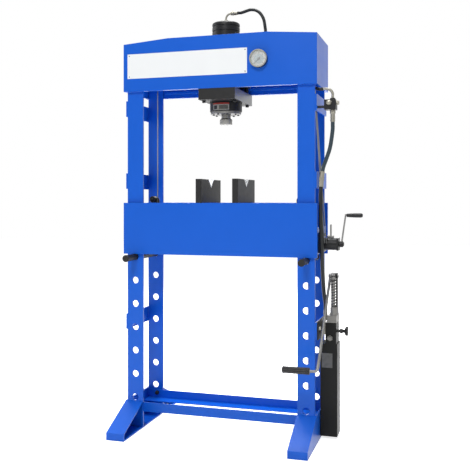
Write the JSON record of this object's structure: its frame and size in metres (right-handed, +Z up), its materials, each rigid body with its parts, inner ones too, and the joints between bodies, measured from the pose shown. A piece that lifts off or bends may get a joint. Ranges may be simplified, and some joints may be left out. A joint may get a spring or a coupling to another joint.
{
  "type": "hydraulic shop press",
  "caption": "Floor-standing hydraulic workshop press with a sliding ram cylinder, pinned bed raised by a hand winch, and a foot-operated pump.",
  "frame": {"origin": "on the floor, midway between the outermost left, right, front and rear points of the press", "axes": "+Z up, -Y towards the operator at the front, +X to the operator's right, where the winch and pump are"},
  "size_m": [1.13, 0.69, 2.0093],
  "materials": {
    "blue_paint": "gloss",
    "black_paint": "satin",
    "steel": "satin",
    "dark_steel": "satin",
    "rubber": "matte",
    "aluminium": "satin",
    "white_plate": "satin",
    "clear_glass": "gloss",
    "red_paint": "satin"
  },
  "bodies": {
    "frame": {"column_front_left": "blue_paint", "column_rear_left": "blue_paint", "column_front_right": "blue_paint", "column_rear_right": "blue_paint", "crown": "blue_paint", "foot_left": "blue_paint", "foot_right": "blue_paint", "base_beam_front": "blue_paint", "base_beam_rear": "blue_paint", "winch_plate": "blue_paint", "tie_plate_upper_left": "blue_paint", "tie_plate_upper_right": "blue_paint", "tie_plate_middle_left": "blue_paint", "tie_plate_middle_right": "blue_paint", "tie_plate_lower_left": "blue_paint", "tie_plate_lower_right": "blue_paint", "valve_block": "black_paint", "winch_housing": "black_paint", "pump_body": "black_paint", "pump_bracket": "black_paint", "pump_cheek_left": "black_paint", "pump_cheek_right": "black_paint", "valve_elbow": "steel", "winch_cable_left": "steel", "winch_cable_right": "steel", "lift_cable_left": "steel", "lift_cable_right": "steel", "filler_plug": "steel", "gauge_case": "steel", "plunger_spring": "dark_steel", "top_hose": "rubber", "pump_hose": "rubber", "valve_ferrule": "aluminium", "pump_head": "aluminium", "name_plate": "white_plate", "gauge_glass": "clear_glass"},
    "carriage": {"carriage": "black_paint", "cylinder_body": "black_paint", "cylinder_gland": "steel", "top_pipe": "steel", "return_spring": "dark_steel"},
    "ram": {"ram": "steel", "pressure_head": "steel"},
    "bed": {"bed": "blue_paint"},
    "pin_left": {"bed_pin_left": "dark_steel"},
    "pin_right": {"bed_pin_right": "dark_steel"},
    "v_left": {"v_plate_left": "dark_steel"},
    "v_right": {"v_plate_right": "dark_steel"},
    "right_pulley": {"pulley_right": "dark_steel"},
    "left_pulley": {"pulley_left": "dark_steel"},
    "drum": {"winch_drum": "dark_steel"},
    "crank": {"winch_crank": "steel"},
    "crank_handle": {"crank_grip": "rubber"},
    "pawl": {"winch_pawl": "steel"},
    "lever": {"pump_lever": "steel", "pedal_grip": "rubber"},
    "plunger": {"pump_plunger": "steel"},
    "knob": {"release_knob": "black_paint"},
    "needle": {"gauge_needle": "red_paint"}
  },
  "joints": [
    {"name": "carriage_slide", "type": "slide", "parent": "frame", "child": "carriage", "axis": [1, 0, 0], "range_m": [-0.11, 0.11], "deforming": ["top_hose"]},
    {"name": "ram_slide", "type": "slide", "parent": "carriage", "child": "ram", "axis": [0, 0, -1], "range_m": [0, 0.15], "stiffness_N_per_m": 500, "springref_m": -0.3, "deforming": ["return_spring"]},
    {"name": "bed_lift", "type": "slide", "parent": "frame", "child": "bed", "axis": [0, 0, 1], "range_m": [0, 0.1125], "deforming": ["lift_cable_left", "lift_cable_right"]},
    {"name": "bed_pin_left_slide", "type": "slide", "parent": "frame", "child": "pin_left", "axis": [0, -1, 0], "range_m": [0, 0.27]},
    {"name": "bed_pin_right_slide", "type": "slide", "parent": "frame", "child": "pin_right", "axis": [0, -1, 0], "range_m": [0, 0.27]},
    {"name": "v_plate_left_slide", "type": "slide", "parent": "bed", "child": "v_left", "axis": [1, 0, 0], "range_m": [-0.21, 0.029]},
    {"name": "v_plate_right_slide", "type": "slide", "parent": "bed", "child": "v_right", "axis": [1, 0, 0], "range_m": [-0.029, 0.21]},
    {"name": "winch_crank_turn", "type": "hinge", "parent": "frame", "child": "crank", "pos_m": [0.465, -0.05, 0.893], "axis": [1, 0, 0], "range_deg": [0, 1940]},
    {"name": "crank_grip_spin", "type": "hinge", "parent": "crank", "child": "crank_handle", "pos_m": [0.525, -0.05, 1.024], "axis": [1, 0, 0], "continuous": true},
    {"name": "winch_drum_turn", "type": "hinge", "parent": "frame", "child": "drum", "pos_m": [0.405, -0.05, 0.893], "axis": [1, 0, 0], "range_deg": [0, 325]},
    {"name": "right_pulley_turn", "type": "hinge", "parent": "frame", "child": "right_pulley", "pos_m": [0.307, -0.067, 1.74], "axis": [0, 1, 0], "range_deg": [0, 192]},
    {"name": "left_pulley_turn", "type": "hinge", "parent": "frame", "child": "left_pulley", "pos_m": [-0.386, -0.073, 1.74], "axis": [0, 1, 0], "range_deg": [0, 192]},
    {"name": "winch_pawl_tilt", "type": "hinge", "parent": "frame", "child": "pawl", "pos_m": [0.42, -0.05, 0.9265], "axis": [1, 0, 0], "range_deg": [-15, 15]},
    {"name": "pump_lever_swing", "type": "hinge", "parent": "frame", "child": "lever", "pos_m": [0.43, 0.002, 0.742], "axis": [1, 0, 0], "range_deg": [0, 20], "stiffness_Nm_per_rad": 8, "springref_deg": -28.65},
    {"name": "plunger_slide", "type": "slide", "parent": "frame", "child": "plunger", "axis": [0, 0, 1], "range_m": [-0.0128, 0], "deforming": ["plunger_spring"]},
    {"name": "release_knob_turn", "type": "hinge", "parent": "frame", "child": "knob", "pos_m": [0.475, -0.02, 0.493], "axis": [1, 0, 0], "range_deg": [0, 180]},
    {"name": "gauge_needle_turn", "type": "hinge", "parent": "frame", "child": "needle", "pos_m": [0.109, -0.158, 1.7355], "axis": [0, 1, 0], "range_deg": [0, 270]}
  ],
  "couplings": [
    {"joint": "winch_crank_turn", "follows": "bed_lift", "rad_per_m": 300},
    {"joint": "winch_drum_turn", "follows": "bed_lift", "rad_per_m": 50},
    {"joint": "right_pulley_turn", "follows": "bed_lift", "rad_per_m": 29.412},
    {"joint": "left_pulley_turn", "follows": "bed_lift", "rad_per_m": 29.412},
    {"joint": "plunger_slide", "follows": "pump_lever_swing", "m_per_rad": -0.036}
  ]
}
